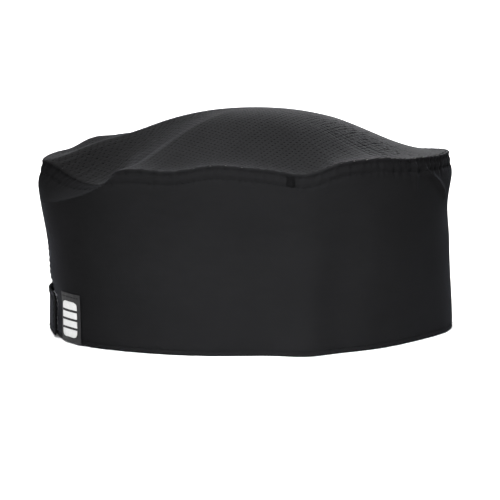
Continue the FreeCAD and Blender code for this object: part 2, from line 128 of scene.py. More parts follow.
# The same for the height of the band's top edge.
RIM_WAVES = [
    (20, 16, -1.0), (60, 24, 1.0), (104, 10, -1.5), (118, 9, 0.5), (143, 7, 1.5), (166, 10, 4.1),
    (180, 9, 1.5), (190, 7, -1.6), (200, 8, 3.4), (212, 10, 4.6), (228, 13, 3.2), (248, 16, 2.5),
    (270, 20, 2.4), (318, 18, -1.2),
]
# The strap pulls the hem in under itself.
STRAP_PULL = [(88, 15, -2.5)]
# The hem rides up over the tag's fold.
TAG_LIFT = [(113.5, 9, 0.6)]
# Short creases under the seam: angle and rise of both ends, width and height in millimetres.
CREASES = [
    (227.0, 84.5, 227.8, 73, 1.5, 2.1),
    (233.0, 81, 251.0, 68, 1.8, 3.2),
    (318.0, 88, 309.0, 68, 2.5, 0.8),
    (33.0, 86, 41.0, 60, 3.0, 0.9),
]
# Between these angles the top of the band has rolled inwards. The fold climbs from the back to the side.
ROLL_START, ROLL_STEEPEST, ROLL_END = 92.0, 129.5, 141.0
ROLL_ANGLE = 70.5
FOLD_START, FOLD_END = 98.0, 139.0
FOLD_LOW, FOLD_BEND, FOLD_RIDGE = 69.4 * MM, 2.2 * MM, 0.9 * MM


def bump(angle, centre, width):
    gap = (angle - centre + 180) % 360 - 180
    return np.exp(-((gap / width) ** 2))


def bulges(angle, rows):
    return sum(size * MM * bump(angle, centre, width) for centre, width, size in rows)


def smooth(start, end, value):
    share = np.clip((value - start) / (end - start), 0, 1)
    return share * share * (3 - 2 * share)


def hill(start, end, value):
    """0 outside start to end and 1 in the middle."""
    middle = (start + end) / 2
    return smooth(start, middle, value) * smooth(end, middle, value)


def fold_rise(angle):
    """How far up the band it starts to roll inwards."""
    share = np.clip((angle - FOLD_START) / (FOLD_END - FOLD_START), 0, 1)
    return FOLD_LOW + (BAND_HEIGHT - FOLD_LOW) * share**3.1


def roll(angle):
    """How far the band leans inwards above the fold, in degrees."""
    share = np.clip((angle - ROLL_START) / (ROLL_STEEPEST - ROLL_START), 0, 1)
    return ROLL_ANGLE * (1 - (1 - share) ** 2) * (1 - smooth(ROLL_STEEPEST + 1, ROLL_END, angle))


def puckers(angle, rise):
    """The gathers that the topstitching pulls into the cloth between itself and the seam."""
    random = np.random.default_rng(11)
    waves = np.zeros(np.shape(angle))
    for count in (83, 97, 118, 139, 163):
        waves = waves + np.sin(np.radians(angle) * count + random.uniform(0, 2 * math.pi)) / 5
    pinches = smooth(-0.15, 0.55, waves)
    strength = 0.35 + 1.15 * bump(angle, 232, 20) + 0.25 * bump(angle, 110, 30) + 0.3 * bump(angle, 320, 40)
    where = smooth(TOPSTITCH_RISE - 5 * MM, TOPSTITCH_RISE + 1 * MM, rise)
    return -0.75 * MM * pinches * strength * where


def dimples(angle, count):
    """0 to 1, uneven, with about count of them round the cap: where a seam pulls the cloth in more."""
    turn = np.radians(angle)
    return 0.5 + 0.25 * np.sin(turn * count) + 0.25 * np.sin(turn * (count // 2 + 9) + 1)


def grooves(angle, rise):
    """The cloth dips along each line of stitches, and just under the crown's seam."""
    dips = 0
    for line, width, dip, count in (
        (BAND_HEIGHT - 1.8 * MM, 1.1, 1.0, 163),
        (TOPSTITCH_RISE, 1.1, 0.65, 190),
        (HEM_STITCH_RISE, 0.8, 0.2, 95),
    ):
        uneven = 0.4 + 1.1 * dimples(angle, count)
        dips = dips - dip * MM * uneven * np.exp(-(((rise - line) / (width * MM)) ** 2))
    return dips


def ridge(x, y, run_x, run_y, width):
    """A ridge on the line from the origin to run_x and run_y. Returns its height at x and y, from 0 to 1, and
    the share of the line passed there."""
    share = np.clip((x * run_x + y * run_y) / (run_x**2 + run_y**2), 0, 1)
    away = np.hypot(x - share * run_x, y - share * run_y)
    return np.exp(-((away / (width * MM)) ** 2)), share


def creases(angle, rise):
    """Short straight folds, each a ridge from one point of the band to another."""
    degree = math.radians(1) * math.sqrt(HALF_WIDTH * HALF_LENGTH)
    height = 0
    for angle_a, rise_a, angle_b, rise_b, width, size in CREASES:
        x, y = (angle - angle_a) * degree, rise - rise_a * MM
        line, share = ridge(x, y, (angle_b - angle_a) * degree, (rise_b - rise_a) * MM, width)
        height = height + size * MM * line * (1 - 0.7 * share)
    return height


def face(angle, rise):
    """A point of the band's outer face: an angle round the cap and a distance up the cloth from the hem."""
    angle, rise = np.broadcast_arrays(np.asarray(angle, float) % 360, np.asarray(rise, float))
    turn = np.radians(angle)
    x, y = HALF_WIDTH * np.cos(turn), HALF_LENGTH * np.sin(turn)
    away_x, away_y = np.cos(turn) / HALF_WIDTH, np.sin(turn) / HALF_LENGTH
    size = np.hypot(away_x, away_y)
    share = rise / BAND_HEIGHT
    out = bulges(angle, HEM_BULGES) * (1 - 0.75 * smooth(0, 1, share))
    out = out + bulges(angle, MIDDLE_BULGES) * hill(0, 1, share)
    out = out + bulges(angle, WAIST_BULGES) * hill(0.5, 0.92, share)
    out = out + bulges(angle, TOP_BULGES) * smooth(0, 0.85, share)
    out = out + bulges(angle, RIM_BULGES) * smooth(0.85, 1.0, share)
    out = out + bulges(angle, STRAP_PULL) * (1 - smooth(0.2, 0.36, share))
    out = out + puckers(angle, rise) + grooves(angle, rise) + creases(angle, rise)
    above_fold = rise - fold_rise(angle)
    rolled = roll(angle)
    from_ridge = (above_fold - FOLD_BEND / 2) / FOLD_BEND * 2
    out = out + FOLD_RIDGE * np.exp(-(from_ridge**2)) * rolled / ROLL_ANGLE
    over = np.maximum(above_fold, 0)
    past = np.where(over < FOLD_BEND, over**2 / (2 * FOLD_BEND), over - FOLD_BEND / 2)
    lean = np.radians(rolled)
    out = out - past * np.sin(lean)
    height = rise - past * (1 - np.cos(lean))
    height = height + bulges(angle, RIM_WAVES) * smooth(0.3, 1.0, share)
    height = height + bulges(angle, TAG_LIFT) * (1 - smooth(0, 0.2, share))
    return np.stack([x + away_x / size * out, y + away_y / size * out, height], -1)


def unit(vectors):
    return vectors / np.linalg.norm(vectors, axis=-1, keepdims=True)


def run_lengths(line):
    """The distance from each point of a line to the next."""
    return np.linalg.norm(np.diff(line, axis=0), axis=1)


def normals(place, a, b, steps):
    """Unit vectors square to a surface, from two close points each way."""
    step_a, step_b = steps
    along = place(a + step_a, b) - place(a - step_a, b)
    up = place(a, b + step_b) - place(a, b - step_b)
    return unit(np.cross(along, up))


ROUND_THE_CAP = (0.15, 0.2 * MM)


def lifted(place, a, b, height, steps=ROUND_THE_CAP):
    """A point above a surface, or below it where the height is negative."""
    return place(a, b) + normals(place, a, b, steps) * np.asarray(height)[..., None]


# ---- meshes ----


# A shape is its points, its faces and uv. Faces are arrays with a row of point numbers for each face. uv is
# the place of each point on the flat cloth in millimetres, or None.


def add_object(name, data):
    made = bpy.data.objects.new(name, data)
    bpy.context.scene.collection.objects.link(made)
    return made


def make_piece(name, node, shape, material, uv_turn=0.0, body="cap", crisp=180.0):
    """A mesh piece that stands for a CAD node and rides on a body. uv_turn is the uv's length once round."""
    points, faces, uv = shape
    mesh = bpy.data.meshes.new(name)
    used = np.unique(np.concatenate([f.ravel() for f in faces]))
    renumber = np.zeros(len(points), int)
    renumber[used] = np.arange(len(used))
    faces = [renumber[f] for f in faces if len(f)]
    mesh.from_pydata(points[used].tolist(), [], [row for f in faces for row in f.tolist()])
    if uv is not None:
        corners = []
        for f in faces:
            flat = uv[used][f]
            if uv_turn:
                wraps = np.ptp(flat[..., 0], axis=1, keepdims=True) > uv_turn / 2
                flat[..., 0] += uv_turn * (wraps & (flat[..., 0] < uv_turn / 2))
            corners.append(flat.reshape(-1, 2))
        layer = mesh.uv_layers.new(name="cloth")
        layer.data.foreach_set("uv", np.concatenate(corners).ravel())
    mesh.shade_smooth()
    if crisp < 180:
        mesh.set_sharp_from_angle(angle=math.radians(crisp))
    mesh.validate()
    piece = add_object(name, mesh)
    piece.data.materials.append(material)
    if body:
        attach(piece, body)
    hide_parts(node)
    return piece


def grid_faces(rows, columns, closed, removed=None):
    """Quads of a grid of points, facing the viewer when columns run to the right and rows run up."""
    ids = np.arange(rows * columns).reshape(rows, columns)
    right = np.roll(ids, -1, axis=1)
    quads = np.stack([ids[:-1], right[:-1], right[1:], ids[1:]], -1)
    if not closed:
        quads = quads[:, :-1]
    return quads[~removed] if removed is not None else quads.reshape(-1, 4)


def tubes(points):
    """Closed tubes, from their points: tube by tube, ring by ring and round each ring."""
    count, stations, around = points.shape[:3]
    ids = np.arange(stations * around).reshape(stations, around)
    quads = grid_faces(stations, around, True)
    ends = np.stack([ids[0][::-1], ids[-1]])
    first = (np.arange(count) * stations * around)[:, None, None]
    return points.reshape(-1, 3), [(quads + first).reshape(-1, 4), (ends + first).reshape(-1, around)], None


def joined(shapes):
    """Several shapes as one, which has a uv if all of them have."""
    points, faces, uvs, count = [], [], [], 0
    for some_points, some_faces, uv in shapes:
        points.append(some_points)
        faces += [f + count for f in some_faces]
        uvs.append(uv)
        count += len(some_points)
    all_uv = None if any(uv is None for uv in uvs) else np.concatenate(uvs)
    return np.concatenate(points), faces, all_uv


def turned_out(shape):
    """The same shape with its faces looking the other way."""
    points, faces, uv = shape
    return points, [f[:, ::-1] for f in faces], uv


def border(faces, count):
    """The edges that only one face uses, as rows of two point numbers."""
    edges = np.concatenate([np.stack([f, np.roll(f, -1, axis=1)], -1).reshape(-1, 2) for f in faces])
    codes = edges[:, 0] * count + edges[:, 1]
    reverse = edges[:, 1] * count + edges[:, 0]
    return edges[~np.isin(codes, reverse)]


def thicken(outer, inner, faces):
    """Points and faces of a closed shell between two surfaces that share their faces."""
    count = len(outer)
    edge = border(faces, count)
    sides = np.stack([edge[:, 1], edge[:, 0], edge[:, 0] + count, edge[:, 1] + count], -1)
    back = [f[:, ::-1] + count for f in faces]
    return np.concatenate([outer, inner]), [*faces, *back, sides]


def shell(outer, inner, flat, closed, removed=None):
    """The shape of a closed shell between two grids of points."""
    rows, columns = outer.shape[:2]
    faces = [grid_faces(rows, columns, closed, removed)]
    points, faces = thicken(outer.reshape(-1, 3), inner.reshape(-1, 3), faces)
    flat = flat.reshape(-1, 2) / MM
    return points, faces, np.concatenate([flat, flat])


def rounded(distance, radius):
    """How far a rounded edge has fallen, at a distance from it: the radius at the edge and 0 beyond it."""
    inside = np.clip(radius - distance, 0, radius)
    return radius - np.sqrt(radius**2 - inside**2)


def even(start, end, step):
    count = max(2, round(abs(end - start) / step) + 1)
    return np.linspace(start, end, count)


def with_ends(start, end, step, radius):
    """Stations that crowd together at both ends, where an edge is rounded."""
    ends = radius * np.array([0, 0.08, 0.3, 0.6, 1.0])
    return np.concatenate([start + ends, even(start + radius, end - radius, step)[1:-1], end - ends[::-1]])


def turn_length():
    """How far it is round the band, halfway up."""
    return run_lengths(face(np.linspace(0, 360, 721), BAND_HEIGHT / 2)).sum()


TURN = turn_length()


def flat_place(angle, rise):
    return np.stack(np.broadcast_arrays(np.asarray(angle) / 360 * TURN, rise), -1)


def angle_at(x):
    """The angle of a point at the back of the cap that stands at x."""
    return np.degrees(np.arccos(np.asarray(x) / HALF_WIDTH))


def x_at(angle):
    return HALF_WIDTH * np.cos(np.radians(angle))


# ---- stitches ----


def sew(path, outward, stitch=STITCH, gap=STITCH_GAP, radius=THREAD):
    """Separate stitches along a line of points. Each rises from the cloth, runs along it and dives in."""
    distance = np.concatenate([[0], np.cumsum(run_lengths(path))])
    count = max(1, int((distance[-1] + gap / 2) / (stitch + gap)))
    stretch = distance[-1] / (count * (stitch + gap))
    starts = (np.arange(count)[:, None] * (stitch + gap) + gap / 2) * stretch
    shares = np.array([0, 0.12, 0.32, 0.5, 0.68, 0.88, 1])
    at = starts + shares * stitch * stretch
    line = np.stack([np.interp(at, distance, path[:, k]) for k in range(3)], -1)
    out = unit(np.stack([np.interp(at, distance, outward[:, k]) for k in range(3)], -1))
    side = unit(np.cross(np.gradient(line, axis=1), out))
    line = line + out * (np.array([-1.6, 0.1, 0.75, 0.85, 0.75, 0.1, -1.6]) * radius)[:, None]
    swell = np.array([0.55, 0.9, 1, 1, 1, 0.9, 0.55]) * radius
    turns = np.arange(6) * math.pi / 3
    ring = np.cos(turns)[:, None] * side[..., None, :] + np.sin(turns)[:, None] * out[..., None, :]
    return tubes(line[..., None, :] + ring * swell[:, None, None])


def sew_piece(node, lines, body="cap", **how):
    """A CAD node's stitches as real ones. lines are (points, outward) pairs."""
    shape = joined([sew(path, outward, **how) for path, outward in lines])
    return make_piece(node + "_thread", node, shape, THREAD_BLACK, body=body)


def on_surface(place, a, b, height=0.0, inwards=False):
    """A line of points on a surface and the way out of it."""
    a, b = np.broadcast_arrays(np.asarray(a, float), np.asarray(b, float))
    out = normals(place, a, b, ROUND_THE_CAP)
    return place(a, b) + out * height, -out if inwards else out


def corners(points, spacing=0.5 * MM):
    """Close-set points along a line through corner points, in the plane."""
    points = np.asarray(points, float)
    runs = []
    for start, end in zip(points, points[1:]):
        count = max(2, int(np.linalg.norm(end - start) / spacing))
        runs.append(start + (end - start) * np.linspace(0, 1, count, endpoint=False)[:, None])
    return np.concatenate([*runs, points[-1:]])


def bartack(node, height, upright):
    """Dense parallel threads, a little askew, across a short bar at the back of the cap."""
    (left, right), (bottom, top) = span(node, "x"), span(node, "z")
    length, width = (top - bottom, right - left) if upright else (right - left, top - bottom)
    count = int(length / BAR_PITCH)
    askew = 0.1 * MM
    lines = []
    for share in (np.arange(count) + 0.5) / count:
        if upright:
            rise = bottom + (top - bottom) * share
            path = corners([(left, rise - askew), (right, rise + askew)])
        else:
            x = left + (right - left) * share
            path = corners([(x - askew, bottom), (x + askew, top)])
        lines.append(on_surface(face, angle_at(path[:, 0]), path[:, 1], height))
    sew_piece(node, lines, stitch=width * 0.98, gap=0, radius=BAR_THREAD)


# ---- materials ----


class Shader:
    """A material with a Principled shader, and short ways to add the nodes that feed it."""

    def __init__(self, name, colour, roughness, sheen=0.0, sheen_roughness=0.5, tint=(1, 1, 1), specular=0.3):
        self.material = bpy.data.materials.new(name)
        self.material.use_nodes = True
        self.nodes = self.material.node_tree.nodes
        self.links = self.material.node_tree.links
        self.shader = self.nodes["Principled BSDF"]
        self.colour = colour
        self.set("Base Color", (*colour, 1))
        self.set("Roughness", roughness)
        self.set("Sheen Weight", sheen)
        self.set("Sheen Roughness", sheen_roughness)
        self.set("Sheen Tint", (*tint, 1))
        self.set("Specular IOR Level", specular)

    def set(self, socket, value):
        self.shader.inputs[socket].default_value = value

    def node(self, kind, inputs=None, **settings):
        made = self.nodes.new(kind)
        for name, value in settings.items():
            setattr(made, name, value)
        for name, value in (inputs or {}).items():
            if isinstance(value, bpy.types.NodeSocket):
                self.links.new(value, made.inputs[name])
            else:
                made.inputs[name].default_value = value
        return made

    def cloth(self, scale=(1, 1, 1), turn=0.0):
        """The place on the flat cloth in millimetres, scaled and turned."""
        uv = self.node("ShaderNodeUVMap", uv_map="cloth").outputs["UV"]
        inputs = {"Vector": uv, "Scale": scale, "Rotation": (0, 0, math.radians(turn))}
        return self.node("ShaderNodeMapping", inputs).outputs["Vector"]

    def space(self, scale=1000.0):
        """The place on the object, in millimetres."""
        place = self.node("ShaderNodeTexCoord").outputs["Object"]
        return self.node("ShaderNodeMapping", {"Vector": place, "Scale": (scale,) * 3}).outputs["Vector"]

    def wave(self, vector, pitch, distortion=0.0, across="X"):
        inputs = {"Vector": vector, "Scale": 1 / (pitch * 3.18), "Distortion": distortion}
        made = self.node("ShaderNodeTexWave", inputs, wave_type="BANDS", bands_direction=across)
        return made.outputs["Fac"]

    def noise(self, vector, size, detail=2.0, roughness=0.5):
        inputs = {"Vector": vector, "Scale": 1 / size, "Detail": detail, "Roughness": roughness}
        return self.node("ShaderNodeTexNoise", inputs).outputs["Fac"]

    def ramp(self, value, start, end, to_start=0.0, to_end=1.0):
        inputs = {"Value": value, "From Min": start, "From Max": end, "To Min": to_start, "To Max": to_end}
        return self.node("ShaderNodeMapRange", inputs).outputs["Result"]

    def spread(self, noise, start=0.0, end=1.0):
        """The middle values of a noise, spread out from start to end."""
        return self.ramp(noise, 0.3, 0.7, start, end)

    def math(self, operation, a, b):
        return self.node("ShaderNodeMath", {0: a, 1: b}, operation=operation).outputs[0]

    def plus(self, a, b, share):
        """a and a share of b."""
        return self.math("ADD", a, self.math("MULTIPLY", b, share))

    def mix(self, share, a, b):
        made = self.node("ShaderNodeMix", data_type="RGBA")
        for index, value in ((0, share), (6, a), (7, b)):
            if isinstance(value, bpy.types.NodeSocket):
                self.links.new(value, made.inputs[index])
            else:
                made.inputs[index].default_value = value if index == 0 else (*value, 1)
        return made.outputs[2]

    def tone(self, share, darkest, lightest):
        """Colours the cloth between two brightnesses of its own colour."""
        dark, light = (tuple(c * k for c in self.colour) for k in (darkest, lightest))
        return self.mix(share, dark, light)

    def feed(self, colour=None, roughness=None, height=None, depth=0.05 * MM, strength=1.0):
        if colour is not None:
            self.links.new(colour, self.shader.inputs["Base Color"])
        if roughness is not None:
            self.links.new(roughness, self.shader.inputs["Roughness"])
        if height is not None:
            inputs = {"Height": height, "Distance": depth, "Strength": strength}
            bumps = self.node("ShaderNodeBump", inputs)
            self.links.new(bumps.outputs["Normal"], self.shader.inputs["Normal"])
        return self.material


def twill(name, colour, sheen, tint):
    """Twill: fine diagonal ribs crossed by yarns, uneven dye, painted highlights on the rib crests, and a
    little lint.
    """
    made = Shader(name, colour, 0.75, sheen, 0.3, tint, 0.0)
    ribs = made.wave(made.cloth(turn=52), 0.62, 0.6)
    yarns = made.wave(made.cloth(), 0.33, 0.3)
    weave = made.plus(ribs, yarns, 0.4)
    slubs = made.noise(made.cloth((0.12, 0.9, 1)), 1.4, 3.0)
    dye = made.noise(made.cloth(), 26.0, 3.0, 0.6)
    lint = made.ramp(made.noise(made.cloth((0.5, 1, 1), 23), 0.55, 1.0), 0.71, 0.8)
    shade = made.plus(made.math("MULTIPLY", dye, 0.6), slubs, 0.4)
    colour_now = made.tone(made.spread(shade), 0.82, 1.18)
    # Painted highlight: the colour is lighter on the raised ribs of the weave, where light would catch them.
    painted_rib_highlights = made.mix(made.math("MULTIPLY", weave, 0.45), colour_now, tuple(c * 1.5 for c in colour))
    linty = made.mix(made.math("MULTIPLY", lint, 0.12), painted_rib_highlights, (0.06, 0.06, 0.066))
    return made.feed(linty, made.spread(slubs, 0.68, 0.82), made.plus(weave, slubs, 0.25), 0.06 * MM, 0.7)


def knit(name, colour, sheen, tint):
    """The crown's mesh: a soft warp knit, whose strands run round each hole."""
    made = Shader(name, colour, 0.8, sheen, 0.3, tint, 0.045)
    loops = made.wave(made.cloth(), 0.42, 1.2)
    rows = made.wave(made.cloth(), 0.5, 0.8, "Y")
    yarn = made.math("MULTIPLY", loops, rows)
    dye = made.noise(made.cloth(), 18.0, 3.0, 0.6)
    fuzz = made.noise(made.cloth(), 0.35, 2.0)
    shade = made.plus(made.math("MULTIPLY", dye, 0.5), fuzz, 0.5)
    colour_now = made.tone(made.spread(shade), 0.75, 1.25)
    height = made.math("ADD", yarn, fuzz)
    return made.feed(colour_now, made.spread(fuzz, 0.72, 0.88), height, 0.07 * MM, 0.7)


def spun(name, colour):
    """Sewing thread: two plies that twist together."""
    made = Shader(name, colour, 0.7, specular=0.02)
    place = made.node("ShaderNodeMapping", {"Vector": made.space(), "Rotation": (0.7, 0.5, 0.8)})
    plies = made.wave(place.outputs["Vector"], 0.24, 0.4)
    fuzz = made.noise(made.space(), 0.3)
    colour_now = made.tone(plies, 0.6, 1.35)
    return made.feed(colour_now, made.spread(fuzz, 0.62, 0.8), plies, 0.03 * MM, 0.6)


def woven_label(name, colour, sheen, lightest=1.25):
    """A label woven on a narrow loom: a fine even rib with a smooth satin face."""
    made = Shader(name, colour, 0.6, sheen, 0.35, (0.9, 0.9, 0.95), 0.12)
    picks = made.wave(made.cloth(), 0.26, 0.1, "Y")
    ends = made.wave(made.cloth(), 0.2, 0.1)
    weave = made.plus(picks, ends, 0.5)
    dye = made.noise(made.cloth(), 3.0, 3.0)
    colour_now = made.tone(made.ramp(made.math("MULTIPLY", weave, dye), 0.1, 0.9), 0.8, lightest)
    return made.feed(colour_now, made.spread(dye, 0.5, 0.7), weave, 0.03 * MM, 0.6)


def felted(name, colour, sheen, size):
    """Bonded or brushed fibres in every direction."""
    made = Shader(name, colour, 0.9, sheen, 0.5, (0.8, 0.8, 0.85), 0.2)
    fibres = made.noise(made.space(), size, 4.0, 0.7)
    clumps = made.noise(made.space(), size * 6, 2.0)
    colour_now = made.tone(made.ramp(made.math("ADD", fibres, clumps), 0.7, 1.3), 0.7, 1.3)
    return made.feed(colour_now, made.spread(fibres, 0.82, 0.96), fibres, 0.08 * MM, 0.7)


def moulded(name, colour):
    """Nylon: smooth, slightly glossy, with faint flow marks."""
    made = Shader(name, colour, 0.4, specular=0.5)
    marks = made.noise(made.space(), 0.8, 3.0)
    colour_now = made.tone(marks, 0.8, 1.25)
    return made.feed(colour_now, made.spread(marks, 0.32, 0.5), marks, 0.02 * MM, 0.4)


TWILL_BLACK = twill("twill_black", (0.006, 0.006, 0.0062), 0.035, (0.85, 0.88, 1.0))
FACING_BLACK = twill("facing_black", (0.006, 0.006, 0.0064), 0.005, (0.8, 0.8, 0.9))
MESH_BLACK = knit("mesh_black", (0.0056, 0.0056, 0.0058), 0.07, (0.85, 0.87, 1.0))
THREAD_BLACK = spun("thread_black", (0.004, 0.004, 0.0042))
INTERLINING = felted("interlining", (0.45, 0.44, 0.42), 0.1, 0.4)
LOOP_PILE = felted("loop_pile", (0.018, 0.018, 0.02), 0.5, 0.25)
HOOK_NYLON = moulded("hook_nylon", (0.014, 0.014, 0.015))
LABEL_BLACK = woven_label("label_black", (0.0135, 0.0135, 0.014), 0.0)
LABEL_WHITE = woven_label("label_white", (0.54, 0.54, 0.53), 0.05, 1.08)
CARE_WHITE = woven_label("care_white", (0.74, 0.73, 0.7), 0.15, 1.1)


# ---- the band ----

SLIT_CELLS = 2  # columns from the slit's middle to its edge, above the slit
SLIT_ANGLE = float(angle_at(SLIT_X))
SLIT_REACH = 9.0  # how far round the cap the columns make room for the slit, in degrees


def slit_half_width(rise):
    share = np.clip(rise / SLIT_HEIGHT, 0, 1)
    return SLIT_FOOT + (SLIT_TOP - SLIT_FOOT) * share


def mm_to_degrees(length):
    """Degrees round the cap for a length along the band at the slit."""
    span = np.linalg.norm(face(SLIT_ANGLE + 0.5, 0.03) - face(SLIT_ANGLE - 0.5, 0.03))
    return length / span


def band_grid(rises, coarse=1):
    """Angles, rises and removed cells of a layer of the band. The columns part round the slit, and the rows
    rise over its round top."""
    cell = mm_to_degrees(SLIT_TOP) / SLIT_CELLS
    step = cell * coarse
    count = round(360 / step)
    columns = SLIT_ANGLE + (np.arange(count) - count // 2) * 360 / count
    angle, rise = np.meshgrid(columns, rises)
    edge = step * (SLIT_CELLS // coarse)
    away = np.abs(angle - SLIT_ANGLE)
    make_room = np.where(rise <= SLIT_HEIGHT, mm_to_degrees(slit_half_width(rise)) - edge, 0)
    fades = np.where(away <= edge, away / edge, np.clip(1 - (away - edge) / SLIT_REACH, 0, 1))
    angle = angle + np.sign(angle - SLIT_ANGLE) * make_room * fades
    arch = np.sqrt(np.clip(1 - (away / edge) ** 2, 0, 1)) * SLIT_TOP
    rise = rise + arch * (rise >= SLIT_HEIGHT) * np.clip(1 - (rise - SLIT_HEIGHT) / (6 * MM), 0, 1)
    in_strip = (away[:-1] < edge * 0.99) & (np.roll(away, -1, axis=1)[:-1] <= edge * 1.01)
    in_strip |= (np.roll(away, -1, axis=1)[:-1] < edge * 0.99) & (away[:-1] <= edge * 1.01)
    removed = in_strip & (np.asarray(rises)[1:, None] <= SLIT_HEIGHT + 1e-9)
    return angle, rise, removed


def rises_between(start, end, step):
    """Rows of a layer, one of them at the foot of the slit's round top."""
    below = even(start, SLIT_HEIGHT, step)
    return np.concatenate([below, even(SLIT_HEIGHT, end, step)[1:]])


def inner_rises(node):
    """Rows of a hidden layer, closer together where the outer cloth dips along the topstitching."""
    start, top = TOPSTITCH_RISE - 4 * MM, high(node).z
    return np.concatenate([rises_between(low(node).z, start, 1.6 * MM), even(start, top, 0.6 * MM)[1:]])


def level(depth):
    """A face of a layer that lies at one depth all over."""
    return lambda rise: depth


def band_layer(name, node, rises, outer_depth, inner_depth, material, slot, coarse=1):
    angle, rise, removed = band_grid(rises, coarse)
    outer = lifted(face, angle, rise, -outer_depth(rise))
    inner = lifted(face, angle, rise, -inner_depth(rise))
    flat = flat_place(angle % 360, rise)
    shape = shell(outer, inner, flat, True, removed)
    return make_piece(name, node, shape, material, TURN / MM, crisp=50)


def make_band():
    """Twill outside and inside, a stiffener between, and the cloth folded under at the hem."""
    fold = 1.0 * MM  # the radius of the folded hem

    def outside(rise):
        return rounded(rise, fold) * 0.9 + rounded(BAND_HEIGHT - rise, 1.6 * MM) * 0.26

    def inside(rise):
        return np.where(rise < 1.02 * MM, BAND_DEPTH - rounded(rise, fold) * 0.9, TWILL)

    hem = np.array([0, 0.1, 0.3, 0.6, 1.0, 1.04, 1.7, 2.1, 2.5, 2.9, 3.5]) * MM
    wall = rises_between(5 * MM, 60 * MM, 3.0 * MM)
    top = even(61 * MM, BAND_HEIGHT - 1.6 * MM, 0.85 * MM)
    edge = BAND_HEIGHT - np.array([1.2, 0.8, 0.4, 0.15, 0]) * MM
    rises = np.concatenate([hem, wall, top, edge])
    pieces = [band_layer("band", "band_outer", rises, outside, inside, TWILL_BLACK, "twill_black")]
    for name, node, outer_depth, inner_depth, *looks in (
        ("facing", "band_facing", FACING_DEPTH, BAND_DEPTH, FACING_BLACK, "twill_black"),
        ("stiffener", "band_interlining", INTERLINING_DEPTH, STIFFENER_FOOT, INTERLINING, "interlining"),
    ):
        depths = level(outer_depth), level(inner_depth)
        pieces.append(band_layer(name, node, inner_rises(node), *depths, *looks, coarse=2))


# ---- the crown ----

CROWN_POWER = 1.2  # above 1 widens the top of the dome
CROWN_STEEP = 0.45  # how much steeper the dome leaves the band at the wearer's right
HOLE_CORNERS = 6
HOLE_PITCH, HOLE_ROW = 3.1 * MM, 1.8 * MM
HOLE_LENGTH, HOLE_WIDTH = 0.64 * MM, 0.21 * MM  # half of each
HOLE_SINK, RIB = 0.03 * MM, 0.02 * MM  # the cloth dips to a hole and rises between two rows of them
PUFF, OVERHANG, PUFF_REACH = 0.2 * MM, 0.2 * MM, 0.8 * MM  # how the cloth swells just above the seam
RIM_COLUMNS = 480
RIM_ANGLES = np.arange(RIM_COLUMNS) * 360 / RIM_COLUMNS
# Swellings of the dome: x, y, width across, width along and height, in millimetres.
CROWN_SWELLINGS = [
    (-4, 80, 14, 19, 3.6),
    (33, 79, 14, 12, 6.6),
    (32, 64, 12, 10, 1.4),
    (-34, 74, 12, 12, -3.0),
    (0, 45, 30, 18, 0.5),
    (0, -50, 34, 26, 1.6),
    (44, -36, 16, 22, -1.2),
]
# Folds of the dome: x and y of both ends, width and height, in millimetres.
CROWN_FOLDS = [(-57, 72, -30, 60, 4.5, 2.3), (40, 60, 12, 66, 6, 1.0), (35, -66, 12, -44, 7, 1.0)]


def rim(angle, rise=None, depth=CROWN_DEPTH):
    """The crown's edge, in the seam."""
    return lifted(face, angle, BAND_HEIGHT if rise is None else rise, -depth)


def dome(x, y):
    """The crown's outer face over a point of its flat oval, x and y."""
    turn = np.degrees(np.arctan2(y / HALF_LENGTH, x / HALF_WIDTH)) % 360
    share = np.hypot(x / HALF_WIDTH, y / HALF_LENGTH)
    edge = rim_table(turn)
    seam_gap = (1 - share) * np.hypot(edge[..., 0], edge[..., 1])
    swelling = np.clip(seam_gap / PUFF_REACH, 0, 1)
    share_out = share * (1 + OVERHANG * np.sin(math.pi * swelling) / np.hypot(edge[..., 0], edge[..., 1]))
    at_x, at_y = edge[..., 0] * share_out, edge[..., 1] * share_out
    steep = 2 - CROWN_STEEP * np.maximum(0, -np.cos(np.radians(turn))) ** 2
    bell = CROWN_RISE * np.cos(math.pi / 2 * np.clip(share, 0, 1) ** CROWN_POWER) ** steep
    wave = edge[..., 2] - BAND_HEIGHT
    z = BAND_HEIGHT + bell + np.where(wave > 0, wave * share**3.5, wave * share**5)
    z = z + PUFF * np.sqrt(swelling * (2 - swelling)) * smooth(0.2, 0.9, share)
    settle = 1 - share**10
    for cx, cy, wide, long, size in CROWN_SWELLINGS:
        swell = np.exp(-(((at_x / MM - cx) / wide) ** 2) - ((at_y / MM - cy) / long) ** 2)
        z = z + size * MM * swell * settle
    for ax, ay, bx, by, wide, size in CROWN_FOLDS:
        fold, along = ridge(at_x - ax * MM, at_y - ay * MM, (bx - ax) * MM, (by - ay) * MM, wide)
        z = z + size * MM * fold * settle * (1 - 0.6 * along)
    gathers = np.sin(np.radians(turn) * 74 + 1) + np.sin(np.radians(turn) * 103 + 2)
    z = z + 0.14 * MM * gathers * smooth(0.86, 0.97, share) * settle
    return np.stack([at_x, at_y, z], -1)


RIM_TABLE_ANGLES = np.linspace(0, 360, 1441)
RIM_TABLE = rim(RIM_TABLE_ANGLES)


def rim_table(angle):
    """rim(), read from a table, because the dome asks for it at very many points."""
    return np.stack([np.interp(angle, RIM_TABLE_ANGLES, RIM_TABLE[:, k]) for k in range(3)], -1)


